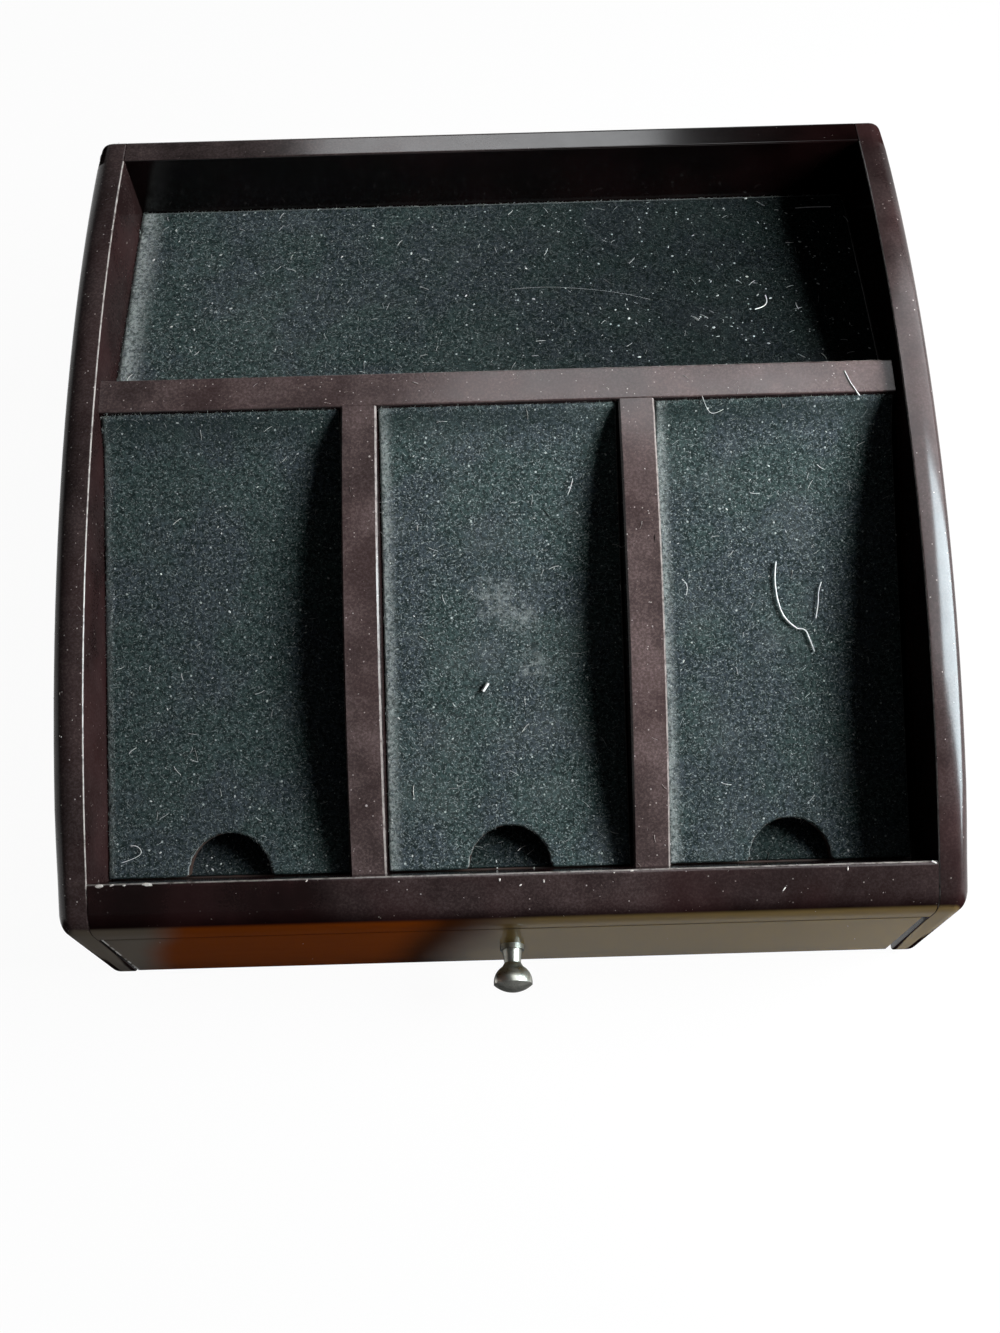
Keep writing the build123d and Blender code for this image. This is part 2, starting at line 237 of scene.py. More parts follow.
def painted_front_reflection(finish):
    """Colour and gloss of the front faces: a painted reflection, olive grey, and orange left of the
    middle.
    """
    across = finish.axis("X") - finish.axis("Z") * 0.30 + finish.noise(22 * MM, 2) * (7 * MM)
    grain = finish.noise(4 * MM, 5, stretch=(9, 1, 1), roughness=0.6)
    right_half = finish.step(across, reflection_right, reflection_right + 30 * MM)
    warm = finish.step(across, reflection_left, reflection_left + 14 * MM) * (1 - right_half)
    olive = finish.mix(right_half, reflection_grey, reflection_olive)
    orange_reflection = finish.mix(grain, reflection_orange_dark, reflection_orange)
    deep = finish.step(across, reflection_right - 14 * MM, reflection_right + 4 * MM)
    orange_reflection = finish.mix(deep, orange_reflection, reflection_brown_dark)
    gloss = 0.06 + right_half * 0.20 - warm * 0.05 + finish.step(across, 70 * MM, 125 * MM) * 0.05
    return finish.mix(warm, olive, orange_reflection), gloss


def lacquer_finish(name, haze, dusty=(), clinging=0.10, edges=(), speck_share=0.35,
                   gloss_of_sides=1.0, front=False, ground=1.0, coat_roughness=0.17,
                   dust_from=0.35, dull=()):
    """Dark espresso lacquer under a clear coat; dust dulls it where it faces up, in clouds and specks.

    dusty and dull are spans that weaken the dust and the gloss. Each of edges is an axis, its side
    and the share of pale colour on that arris, partly bare wood and partly a painted highlight, with
    further spans that weaken it.
    """
    finish = Finish(name, Roughness=0.65, Specular_IOR_Level=0.0, Coat_IOR=1.48,
                    Coat_Roughness=coat_roughness)
    patchy = finish.step(finish.noise(30 * MM, 4), 0.38, 0.66)
    body = finish.mix(patchy, toned(espresso_black, ground), toned(espresso_brown, ground))
    upward = finish.step(finish.facing("Z"), dust_from, dust_from + 0.55) * (1 - clinging) + clinging
    for span in dusty:
        upward = upward * finish.span(*span)
    mottle = finish.noise(0.8 * MM, 4, roughness=0.75)
    clouds = finish.step(finish.noise(19 * MM, 4, roughness=0.6), 0.34, 0.66)
    film = upward * (finish.step(mottle, 0.40, 0.68) * 0.45 + 0.42) * (clouds * 0.55 + 0.45) * haze
    body = finish.mix(film, body, settled_dust)
    small_specks = finish.specks(2.1 * MM, 0.26 * MM, speck_share) * 0.8
    specks = (small_specks + finish.specks(9 * MM, 0.45 * MM, speck_share)) * upward
    body = finish.mix(specks, body, dust_speck)
    # Arrises lightened: partly bare worn wood, partly a painted highlight where they catch the lamp.
    for axis, side, share, *fades in edges:
        worn_and_lit = finish.arris(axis, side) * share
        for span in fades:
            worn_and_lit = worn_and_lit * finish.span(*span)
        body = finish.mix(worn_and_lit, body, bare_edge_and_highlight)
    gloss = finish.noise(7 * MM, 3) * 0.25 + 0.80 - film * 0.75 - specks * 0.7
    on_top = finish.step(finish.facing("Z"), 0.05, 0.40)
    gloss = gloss * (on_top * (1 - gloss_of_sides) + gloss_of_sides)
    sideways = abs(finish.facing("X"))
    corner = finish.step(sideways, 0.15, 0.40) * (1 - finish.step(sideways, 0.90, 0.99))
    gloss = gloss * (1 - (finish.axis("Y") > rear_corners) * corner)
    for span in dull:
        gloss = gloss * finish.span(*span)
    # Faces turned to the front take the painted reflection colours instead of the lacquer's own.
    if front:
        colour, front_gloss = painted_front_reflection(finish)
        ahead = finish.step(finish.facing("Y"), -0.84, -0.94)
        body = finish.mix(ahead, body, colour)
        gloss = gloss * (1 - finish.step(finish.facing("Y"), -0.45, -0.66)) + front_gloss * ahead
    finish.set("Base Color", body)
    finish.set("Coat Weight", gloss)
    finish.bump(finish.noise(1.6 * MM, 3) * 0.5 + specks, 0.03 * MM)
    return finish.material


def drawer_finish(name):
    """The polished drawer front with a painted reflection on its face, its left edge chipped pale."""
    finish = Finish(name, Roughness=0.6, Specular_IOR_Level=0.0, Coat_IOR=1.48, Coat_Roughness=0.05)
    colour, gloss = painted_front_reflection(finish)
    ahead = finish.step(finish.facing("Y"), -0.70, -0.90)
    body = finish.mix(ahead, espresso_brown, colour)
    specks = finish.specks(6 * MM, 0.22 * MM, 0.2)
    body = finish.mix(specks, body, dust_speck)
    left_edge = (1 - finish.span("X", -123.9, -123.3)) * (1 - finish.span("Y", -121.4, -120.7))
    chipped = left_edge * finish.step(finish.noise(3 * MM, 4), 0.44, 0.52)
    finish.set("Base Color", finish.mix(chipped, body, bare_chip))
    finish.set("Coat Weight", gloss - specks * 0.05)
    finish.bump(finish.noise(3 * MM, 2), 0.01 * MM)
    return finish.material


felt_deep = (0.036, 0.056, 0.054)
felt_green = (0.100, 0.158, 0.152)
felt_violet = (0.110, 0.142, 0.166)
felt_salt = (0.47, 0.54, 0.53)
felt_fluff_and_light = (0.60, 0.66, 0.64)
felt_in_shade = (0.001, 0.0015, 0.0015)


def felt_finish(name, tone, dusting=0.3, pale_from=None, pale_width=3.0, pale_share=1.0,
                shadow_right=0.0, dusty_spots=()):
    """Blue-green felt of mixed fibres, salt-and-pepper, dusty in clouds and pale at its cut edges.

    Its left border is pale over a width from a place along X: fluff, and painted light where the
    felt turns up towards the lamp. Each dusty spot is a point and a radius. These are in millimetres.
    Towards the right a share of it can be darkened by a painted shadow.
    """
    finish = Finish(name, Roughness=1.0, Specular_IOR_Level=0.0)
    hue = finish.step(finish.noise(21 * MM, 3), 0.42, 0.60)
    ground = finish.mix(hue, toned(felt_green, tone), toned(felt_violet, tone))
    grain = finish.noise(1.2 * MM, 5, roughness=0.78)
    body = finish.mix(finish.step(grain, 0.41, 0.60), toned(felt_deep, 0.8 * tone), ground)
    strokes = 0.0
    for turn in (0.3, 1.35, 2.4):
        strand = finish.noise(0.42 * MM, 1, stretch=(3.0, 1, 1), turn=turn)
        strokes = finish.step(strand, 0.61, 0.73) + strokes
    body = finish.mix(strokes * (0.42 + 0.24 * dusting), body, toned(felt_salt, tone * 1.3))
    clouds = finish.step(finish.noise(17 * MM, 4, roughness=0.6), 0.46, 0.74)
    body = finish.mix(clouds * dusting * 0.30, body, toned(felt_salt, 0.75 * tone))
    # Painted light and fluff: the left border is lightened where the felt turns up towards the lamp.
    if pale_from is not None:
        fluffy = finish.step(finish.noise(1.1 * MM, 4, roughness=0.7), 0.40, 0.60)
        border = 1 - finish.span("X", pale_from, pale_from + pale_width)
        pale = border * (fluffy * 0.65 + 0.15) * pale_share
        body = finish.mix(pale, body, toned(felt_fluff_and_light, 0.85))
    for x, y, z, radius in dusty_spots:
        sockets = {0: finish.place, 1: (x * MM, y * MM, z * MM)}
        away = finish.node("VectorMath", {"operation": "DISTANCE"}, sockets, "Value")
        spot = 1 - finish.step(away, 0.0, radius * MM)
        tufts = finish.step(finish.noise(2.6 * MM, 5, roughness=0.75), 0.42, 0.64)
        body = finish.mix(spot * tufts * (grain * 0.8 + 0.1), body, toned(felt_fluff_and_light, 0.75))
    # Painted shadow: towards the right the felt darkens to the colour of felt in shade, where the right
    # side's shadow falls.
    if shadow_right:
        body = finish.mix(finish.span("X", -125, 92) * shadow_right, body, felt_in_shade)
    # Painted shade: felt turned towards the front, as on the upturned rear lip, is darkened.
    turned_up_shade = finish.step(finish.facing("Y"), -0.50, -0.70)
    body = finish.mix(turned_up_shade * 0.60, body, toned(felt_deep, tone))
    small_specks = finish.specks(1.7 * MM, 0.28 * MM, 0.27) * 0.85
    specks = finish.specks(3.4 * MM, 0.42 * MM, 0.30) + small_specks
    body = finish.mix(specks, body, toned(felt_fluff_and_light, tone * 1.5))
    cut_edge = finish.step(abs(finish.facing("X")), 0.45, 0.80)
    cut_edge = cut_edge + finish.step(finish.facing("Y"), 0.15, 0.50)
    body = finish.mix(cut_edge * 0.55, body, toned(felt_fluff_and_light, tone))
    finish.set("Base Color", body)
    finish.bump(grain * 0.6 + strokes * 0.4, 0.17 * MM)
    return finish.material


def fibre_finish(name, dark, light):
    """Loose textile fibre, its colour drifting from one to the next."""
    finish = Finish(name, Roughness=0.9, Specular_IOR_Level=0.2)
    drift = finish.step(finish.noise(0.7 * MM, 2), 0.42, 0.72)
    finish.set("Base Color", finish.mix(drift, dark, light))
    return finish.material


def board_finish(name):
    """Thin board, stained dark brown, with a short straight grain."""
    finish = Finish(name, IOR=1.45)
    grain = finish.noise(2.6 * MM, 6, stretch=(10, 1, 1), roughness=0.65)
    pores = finish.step(finish.noise(0.8 * MM, 3, stretch=(8, 1, 1)), 0.58, 0.72)
    body = finish.mix(grain, (0.018, 0.009, 0.006), (0.060, 0.030, 0.020))
    finish.set("Base Color", finish.mix(pores * 0.6, body, (0.008, 0.004, 0.003)))
    finish.set("Roughness", 0.55 + grain * 0.2)
    finish.bump(1 - pores, 0.08 * MM)
    return finish.material


nickel_clean = (0.62, 0.62, 0.56)
nickel_grey = (0.22, 0.22, 0.18)
nickel_in_shade = (0.040, 0.040, 0.036)
nickel_pits = (0.10, 0.09, 0.08)
# The knob's domed end is this deep.
dome_depth = 2.3 * MM


def nickel_finish(name, tarnish=0.5):
    """Polished nickel gone grey with age and darker in patches; painted shade darkens it underneath and
    on the knob's dome.
    """
    finish = Finish(name, Specular_IOR_Level=0.0)
    patches = finish.step(finish.noise(2.4 * MM, 5, roughness=0.65), 0.38, 0.68)
    fine = finish.noise(0.5 * MM, 4, roughness=0.7)
    body = finish.mix(patches * tarnish, nickel_clean, nickel_grey)
    # Painted shade: the underside and the domed end are darker and less metallic.
    on_dome = finish.axis("Y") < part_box("knob")[0].y + dome_depth
    underside_shade = 1 - finish.step(finish.facing("Z"), 0.22, 0.46) * (1 - on_dome * 0.85)
    body = finish.mix(underside_shade * (fine * 0.5 + 0.62), body, nickel_in_shade)
    finish.set("Metallic", (1 - patches * 0.45 * tarnish) * (1 - underside_shade * 0.85))
    finish.set("Base Color", finish.mix(finish.step(fine, 0.60, 0.80) * 0.4, body, nickel_pits))
    finish.set("Roughness", 0.24 + patches * 0.12 + fine * 0.08)
    finish.bump(fine, 0.012 * MM)
    return finish.material


left_lacquer = lacquer_finish(
    "left_lacquer", haze=0.57, clinging=0.25, dust_from=0.0, speck_share=0.5, gloss_of_sides=0.25,
    edges=[("X", 1, 0.9, ("Y", -116, -110))], front=True)
right_lacquer = lacquer_finish(
    "right_lacquer", haze=0.36, dusty=[("Y", 138, 60, 0.2), ("Y", -110, -80, 0.5)],
    gloss_of_sides=0.6, dull=[("Y", 138, 80, 0.25)], edges=[("X", -1, 0.35)], front=True)
back_lacquer = lacquer_finish(
    "back_lacquer", haze=0.62, dusty=[("X", 40, -70)], clinging=0.0, speck_share=0.12, ground=0.3,
    coat_roughness=0.15, dull=[("X", 120, 78, 0.12)])
comb_lacquer = lacquer_finish(
    "comb_lacquer", haze=1.15, dusty=[("Y", 30, -70, 0.8)], clinging=0.12, speck_share=0.5,
    edges=[("X", 1, 0.45)])
partition_lacquer = lacquer_finish(
    "partition_lacquer", haze=0.95, clinging=0.08, speck_share=0.5,
    edges=[("Y", 1, 0.9, ("X", -32, -12, 0.3))])
rail_lacquer = lacquer_finish(
    "rail_lacquer", haze=0.48, dusty=[("X", -62, -40, 0.1), ("X", 50, 42, 0.5)], clinging=0.03,
    edges=[("Y", 1, 0.6)], front=True)
drawer_lacquer = drawer_finish("drawer_lacquer")
rear_felt = felt_finish(
    "rear_felt", 0.60, dusting=0.30, pale_from=-124.7, pale_width=10.0, pale_share=1.25,
    shadow_right=0.80)
under_felt = felt_finish("under_felt", 0.25)
tray_felt = {
    "left": felt_finish(
        "left_tray_felt_finish", 0.56, dusting=0.15, pale_from=-124.6, pale_share=0.3),
    "middle": felt_finish(
        "middle_tray_felt_finish", 0.64, dusting=0.50, pale_from=-37.9, pale_width=5.0,
        dusty_spots=[(-3.3, -26, 74.4, 11), (5, -32, 71.6, 9), (8, -46, 65.2, 8)]),
    "right": felt_finish(
        "right_tray_felt_finish", 0.51, dusting=0.45, pale_from=48.7, pale_width=5.0),
}
stained_board = board_finish("stained_board")
nickel = nickel_finish("aged_nickel")
screw_steel = nickel_finish("plated_steel", tarnish=0.2)
dark_fibre = fibre_finish("dark_fibre", (0.004, 0.007, 0.007), (0.17, 0.22, 0.21))
grey_fibre = fibre_finish("grey_fibre", (0.010, 0.016, 0.016), (0.33, 0.40, 0.39))
lint = fibre_finish("pale_lint", (0.55, 0.57, 0.55), (0.95, 0.97, 0.95))
white_hair = fibre_finish("white_hair", (0.88, 0.90, 0.88), (0.98, 0.98, 0.98))
fuzz = fibre_finish("edge_fuzz", (0.20, 0.24, 0.23), (0.58, 0.62, 0.60))
dust = fibre_finish("pale_dust", (0.30, 0.26, 0.24), (0.82, 0.78, 0.75))
filler = fibre_finish("bare_filler", (0.62, 0.58, 0.54), (0.88, 0.86, 0.82))

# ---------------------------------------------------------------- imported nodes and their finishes
node_finish = {
    "left_side": left_lacquer,
    "right_side": right_lacquer,
    "back_panel": back_lacquer,
    "front_rail": rail_lacquer,
    "cross_partition": partition_lacquer,
    "left_divider": comb_lacquer,
    "right_divider": comb_lacquer,
    "drawer_front": drawer_lacquer,
    "knob": nickel,
    "knob_screw": screw_steel,
}
for name, node in nodes.items():
    node.data.materials.clear()
    node.data.materials.append(node_finish.get(name, stained_board))


# ---------------------------------------------------------------- meshes
def add_object(name, shape):
    """Put a mesh or curve in the scene under a name."""
    made = bpy.data.objects.new(name, shape)
    bpy.context.scene.collection.objects.link(made)
    return made


def settled(source, name):
    """The evaluated shape of an object as a plain mesh of its own; the source is removed."""
    shape = source.evaluated_get(bpy.context.evaluated_depsgraph_get())
    mesh = bpy.data.meshes.new_from_object(shape)
    mesh.name = name
    bpy.data.objects.remove(source)
    return add_object(name, mesh)


def joined(name, objects):
    """Several objects made one."""
    first = objects[0]
    if len(objects) > 1:
        with bpy.context.temp_override(active_object=first, selected_editable_objects=objects,
                                       selected_objects=objects):
            bpy.ops.object.join()
    first.name = name
    first.data.name = name
    return first


class Recipe:
    """A tree of geometry nodes with named inputs."""

    def __init__(self, name, **inputs):
        self.tree = bpy.data.node_groups.new(name, "GeometryNodeTree")
        self.tree.is_modifier = True
        for socket, kind in {"Geometry": "Geometry", **inputs}.items():
            self.tree.interface.new_socket(socket, in_out="INPUT", socket_type="NodeSocket" + kind)
        self.tree.interface.new_socket("Geometry", in_out="OUTPUT", socket_type="NodeSocketGeometry")
        self.given = self.tree.nodes.new("NodeGroupInput").outputs

    def node(self, kind, settings=None, inputs=None, output=0):
        """A node with its settings made and its sockets linked or set; one of its outputs."""
        made = self.tree.nodes.new(kind)
        for key, value in (settings or {}).items():
            setattr(made, key, value)
        for key, value in (inputs or {}).items():
            if isinstance(value, bpy.types.NodeSocket):
                self.tree.links.new(value, made.inputs[key])
            else:
                made.inputs[key].default_value = value
        return made.outputs[output]

    def random(self, low, high, seed):
        """A number drawn for each copy."""
        sockets = {2: low, 3: high, "Seed": seed}
        return self.node("FunctionNodeRandomValue", {"data_type": "FLOAT"}, sockets, 1)

    def times(self, first, second):
        """A product of two numbers."""
        return self.node("ShaderNodeMath", {"operation": "MULTIPLY"}, {0: first, 1: second})

    def give(self, geometry):
        """Send the result out."""
        out = self.tree.nodes.new("NodeGroupOutput")
        self.tree.links.new(geometry, out.inputs[0])
        return self.tree


def strewn_recipe(name, shape_of_one):
    """Tree that strews one small shape over the upper faces of a mesh, turned and scaled at random."""
    recipe = Recipe(name, Density="Float", Length="Float", Stand="Float", Seed="Int",
                    Material="Material")
    given = recipe.given
    upward = recipe.node("ShaderNodeSeparateXYZ", {}, {0: recipe.node("GeometryNodeInputNormal")}, 2)
    on_top = recipe.node("FunctionNodeCompare", {"data_type": "FLOAT"}, {0: upward, 1: 0.35})
    points = recipe.node("GeometryNodeDistributePointsOnFaces", {}, {
        "Mesh": given["Geometry"], "Selection": on_top,
        "Density": given["Density"], "Seed": given["Seed"]})
    lie = points.node.outputs["Rotation"]
    tilt = recipe.times(recipe.random(0.0, 1.0, 12), given["Stand"])
    heading = recipe.random(0.0, 2 * pi, 11)
    angles = recipe.node("ShaderNodeCombineXYZ", {}, {0: 0.0, 1: tilt, 2: heading})
    turn = recipe.node("FunctionNodeEulerToRotation", {}, {0: angles})
    spin = recipe.node("FunctionNodeRotateRotation", {"rotation_space": "LOCAL"}, {0: lie, 1: turn})
    long = recipe.times(recipe.random(0.35, 1.0, 13), given["Length"])
    bent = recipe.times(recipe.random(-0.9, 0.9, 14), long)
    size = recipe.node("ShaderNodeCombineXYZ", {}, {0: long, 1: bent, 2: long})
    copies = recipe.node("GeometryNodeInstanceOnPoints", {}, {
        "Points": points, "Instance": shape_of_one(recipe), "Rotation": spin, "Scale": size})
    real = recipe.node("GeometryNodeRealizeInstances", {}, {0: copies})
    return recipe.give(recipe.node("GeometryNodeSetMaterial", {}, {
        "Geometry": real, "Material": given["Material"]}))


def fibre_of_unit_length(width_share, bend):
    """A nearly straight thread one unit long, lying along X with its ends on the surface."""

    def build(recipe):
        line = recipe.node("GeometryNodeCurveQuadraticBezier", {}, {
            "Resolution": 2,
            "Start": (-0.5, 0, 0.01), "Middle": (0.08, bend, 0.10), "End": (0.5, 0.03, 0.03)})
        ring = recipe.node("GeometryNodeCurvePrimitiveCircle", {"mode": "RADIUS"}, {
            "Resolution": 3, "Radius": width_share / 2})
        return recipe.node("GeometryNodeCurveToMesh", {}, {
            "Curve": line, "Profile Curve": ring, "Fill Caps": True})

    return build


def flake_of_unit_size(recipe):
    """A lumpy flake about one unit across."""
    ball = recipe.node("GeometryNodeMeshIcoSphere", {}, {"Radius": 0.5, "Subdivisions": 1})
    return recipe.node("GeometryNodeTransform", {}, {"Geometry": ball, "Scale": (1.0, 0.8, 0.34)})


nap_recipe = strewn_recipe("nap", fibre_of_unit_length(0.12, 0.16))
hair_recipe = strewn_recipe("hairs", fibre_of_unit_length(0.09, 0.20))
flake_recipe = strewn_recipe("flakes", flake_of_unit_size)


def strewn(name, recipe, over, seed, **inputs):
    """A mesh of small shapes strewn over the tops of the given meshes."""
    heaps = []
    for mesh in over:
        carrier = add_object(name + "_carrier", mesh.copy())
        modifier = carrier.modifiers.new("strewn", "NODES")
        modifier.node_group = recipe
        for item in recipe.interface.items_tree:
            if item.in_out == "INPUT" and item.name in inputs:
                modifier[item.identifier] = inputs[item.name]
            elif item.name == "Seed":
                modifier[item.identifier] = seed
        heaps.append(settled(carrier, name))
        seed += 1
    return joined(name, heaps)


# ---------------------------------------------------------------- sides
crest_height = 115.0 * MM
crest_back = 118.3 * MM
top_radius = 474.0 * MM
corner_radius = 5.0 * MM
corner_slack = 0.2 * MM
side_outer = 135.0 * MM
sharp_angle = radians(32)
# The top of a side rolls over to its outer face this far in and down, evened out towards its ends.
crown_width = 7.7 * MM
crown_depth = 3.6 * MM
crown_cut_spacing = 0.65 * MM
crown_front, crown_front_fade = -106 * MM, 14 * MM
crown_rear, crown_rear_fade = 134 * MM, 6 * MM


def fall(start, width, depth, across):
    """Depth of a quarter ellipse below its top at a distance from the middle of the box."""
    share = min(1.0, max(0.0, (across - start) / width))
    return depth * (1 - sqrt(1 - share**2))


def crowned_side(name):
    """A side panel whose top rolls over to its outer face in one wide soft curve."""
    shape = bmesh.new()
    shape.from_mesh(nodes[name].data)
    bmesh.ops.remove_doubles(shape, verts=shape.verts, dist=same_point)
    crown_start = side_outer - crown_width
    for step in range(1, 5):
        cut = crown_start + step * crown_cut_spacing
        for side in (-cut, cut):
            bmesh.ops.bisect_plane(shape, geom=[*shape.verts, *shape.edges, *shape.faces],
                                   plane_co=(side, 0, 0), plane_no=(1, 0, 0))
    for vertex in shape.verts:
        x, y, z = vertex.co
        lean = sqrt(1 - ((y - crest_back) / top_radius) ** 2)
        crest = crest_height - top_radius * (1 - lean)
        if z < crest - (corner_radius + corner_slack) / lean:
            continue
        as_cut = fall(side_outer - corner_radius, corner_radius, corner_radius, abs(x))
        as_worn = fall(crown_start, crown_width, crown_depth, abs(x))
        share = min(1.0, (y - crown_front) / crown_front_fade, (crown_rear - y) / crown_rear_fade)
        vertex.co.z = z - (as_worn - as_cut) / lean * max(0.0, share)
    mesh = bpy.data.meshes.new(name + "_panel")
    shape.to_mesh(mesh)
    shape.free()
    for face in mesh.polygons:
        face.use_smooth = True
    mesh.set_sharp_from_angle(angle=sharp_angle)
    mesh.materials.clear()
    mesh.materials.append(node_finish[name])
    panel = add_object(name + "_panel", mesh)
    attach(panel, "case")
    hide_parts(name)
    return mesh


left_panel = crowned_side("left_side")
right_panel = crowned_side("right_side")

# ---------------------------------------------------------------- felt
felt_voxel = 0.7 * MM
felt_lumps = 0.22 * MM
wide_sheet_ratio = 0.42         # share of its faces that the drawer's large sheet keeps
lip_reach = 11.0 * MM
lip_lift = Vector((0, 1.9, 4.0)) * MM
border_width = 2.4 * MM


class Slope:
    """The top of a felt sheet as a plane that rises from front to back."""

    def __init__(self, node_name):
        low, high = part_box(node_name)
        across, along = high.x - low.x, high.y - low.y
        rise = high.z - low.z
        flat = rise < 2 * MM
        self.angle = 0.0 if flat else atan2(rise, along)
        self.up_slope = Vector((0, cos(self.angle), sin(self.angle)))
        self.normal = Vector((0, -sin(self.angle), cos(self.angle)))
        corners = [vertex.co for vertex in nodes[node_name].data.vertices]
        self.foot = min(corner.dot(self.up_slope) for corner in corners)
        self.length = max(corner.dot(self.up_slope) for corner in corners) - self.foot
        self.height = max(corner.dot(self.normal) for corner in corners)
        self.middle = (low.x + high.x) / 2
        self.width = across

    def at(self, across, along, above=0.0):
        """Point so far right of the middle, up the slope from the front edge and above the felt."""
        return (Vector((self.middle + across, 0, 0)) + self.up_slope * (self.foot + along)
                + self.normal * (self.height + above) + self.lift_at(along))

    def lift_at(self, along):
        """Way by which the felt turns up there against the partition; a flat sheet doesn't."""
        near = max(0.0, 1 - (self.length - along) / lip_reach)
        return lip_lift * near**2 if self.angle else Vector()


def felt_sheet(node_name, material):
    """A sheet of felt in the place of its node: soft-edged, slightly lumpy, turned up at the rear."""
    blank = add_object(node_name + "_cloth", nodes[node_name].data.copy())
    weld = blank.modifiers.new("weld", "WELD")
    weld.merge_threshold = same_point
    cut = blank.modifiers.new("cut", "REMESH")
    cut.mode = "VOXEL"
    cut.voxel_size = felt_voxel
    soften = blank.modifiers.new("soften", "SMOOTH")
    soften.factor = 0.5
    soften.iterations = 2
    lumps = bpy.data.textures.new(node_name + "_lumps", "CLOUDS")
    lumps.noise_scale = 2.4 * MM
    lumps.noise_depth = 3
    lift = blank.modifiers.new("lift", "DISPLACE")
    lift.texture = lumps
    lift.texture_coords = "LOCAL"
    lift.strength = felt_lumps
    lift.mid_level = 0.5
    if node_name == "drawer_felt":
        thin_out = blank.modifiers.new("thin_out", "DECIMATE")
        thin_out.ratio = wide_sheet_ratio
    sheet = settled(blank, node_name + "_cloth")
    slope = Slope(node_name)
    for vertex in sheet.data.vertices:
        vertex.co += slope.lift_at(vertex.co.dot(slope.up_slope) - slope.foot)
    for face in sheet.data.polygons:
        face.use_smooth = True
    sheet.data.materials.clear()
    sheet.data.materials.append(material)
    return sheet


def ribbon(name, rows):
    """Narrow strip of faces through rows of two points each."""
    mesh = bpy.data.meshes.new(name)
    corners = [point for row in rows for point in row]
    faces = [(2 * i, 2 * i + 1, 2 * i + 3, 2 * i + 2) for i in range(len(rows) - 1)]
    mesh.from_pydata(corners, [], faces)
    return mesh


def tray_borders(slope):
    """Strips along the left and rear edges of a felt and, in a tray, round its finger notch."""
    edge = -slope.width / 2
    notch_radius = 12.5 * MM
    notch_inset = 0.6 * MM
    left, notch, rear = [], [], []
    for step in range(25):
        along = slope.length * step / 24
        left.append((slope.at(edge, along), slope.at(edge + border_width, along)))
        turn = pi * (0.04 + 0.92 * step / 24)
        inner, outer = notch_radius + 0.1 * MM, notch_radius + border_width / 2
        notch.append([slope.at(-r * cos(turn), notch_inset + r * sin(turn)) for r in (outer, inner)])
        across = edge + slope.width * step / 24
        rear.append([slope.at(across, slope.length - inset) for inset in (0.2 * MM, 1.1 * MM)])
    for rows in (left, rear, notch):
        first, second, third = rows[0][0], rows[0][1], rows[1][0]
        if (second - first).cross(third - first).z < 0:
            rows[:] = [(b, a) for a, b in rows]
    strips = (left, rear, notch) if slope.angle else (left, rear)
    return [ribbon("border", rows) for rows in strips]


# Fibres per square metre where the felt is in full view, and elsewhere.
thick_nap = 300000
thin_nap = 60000
felt_pieces = [
    ("rear_tray_felt", "case", rear_felt, "rear_tray_board", dark_fibre, thick_nap),
    ("drawer_felt", "drawer", under_felt, "drawer_bottom", dark_fibre, thin_nap),
]
for name in tray_names:
    felt_pieces += [
        (name + "_bay_felt", "case", under_felt, "floor_board", dark_fibre, thin_nap),
        (name + "_tray_felt", name + "_tray", tray_felt[name], name + "_tray_board", grey_fibre,
         thick_nap),
    ]

for number, (node_name, body, material, board, nap_fibre, nap_density) in enumerate(felt_pieces):
    flake_length = 1.45 * MM if node_name == "rear_tray_felt" else 1.10 * MM
    sheet = felt_sheet(node_name, material)
    slope = Slope(node_name)
    top = [sheet.data]
    extras = [
        strewn(node_name + "_nap", nap_recipe, top, 20 + number, Material=nap_fibre,
               Density=nap_density, Length=1.1 * MM, Stand=0.25),
        strewn(node_name + "_hairs", hair_recipe, top, 60 + number, Material=lint, Density=5200.0,
               Length=3.4 * MM, Stand=0.12),
        strewn(node_name + "_flakes", flake_recipe, top, 90 + number, Material=lint, Density=8500.0,
               Length=flake_length, Stand=0.1),
    ]
    if material is not under_felt:
        extras.append(strewn(node_name + "_fuzz", nap_recipe, tray_borders(slope), 120 + number,
                             Material=fuzz, Density=2200000.0, Length=1.1 * MM, Stand=0.7))
    for piece in (sheet, *extras):
        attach(piece, body)
    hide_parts(node_name)


# ---------------------------------------------------------------- single hairs
def hair(points, thickness):
    """One smooth hair through its control points."""
    line = bpy.data.curves.new("hair", "CURVE")
    line.dimensions = "3D"
    line.resolution_u = 5
    line.bevel_depth = thickness / 2
    line.bevel_resolution = 1
    line.use_fill_caps = True
    spline = line.splines.new("NURBS")
    spline.points.add(len(points) - 1)
    for control, point in zip(spline.points, points):
        control.co = (*point, 1)
    spline.order_u = 3
    spline.use_endpoint_u = True
    return settled(add_object("hair", line), "hair")


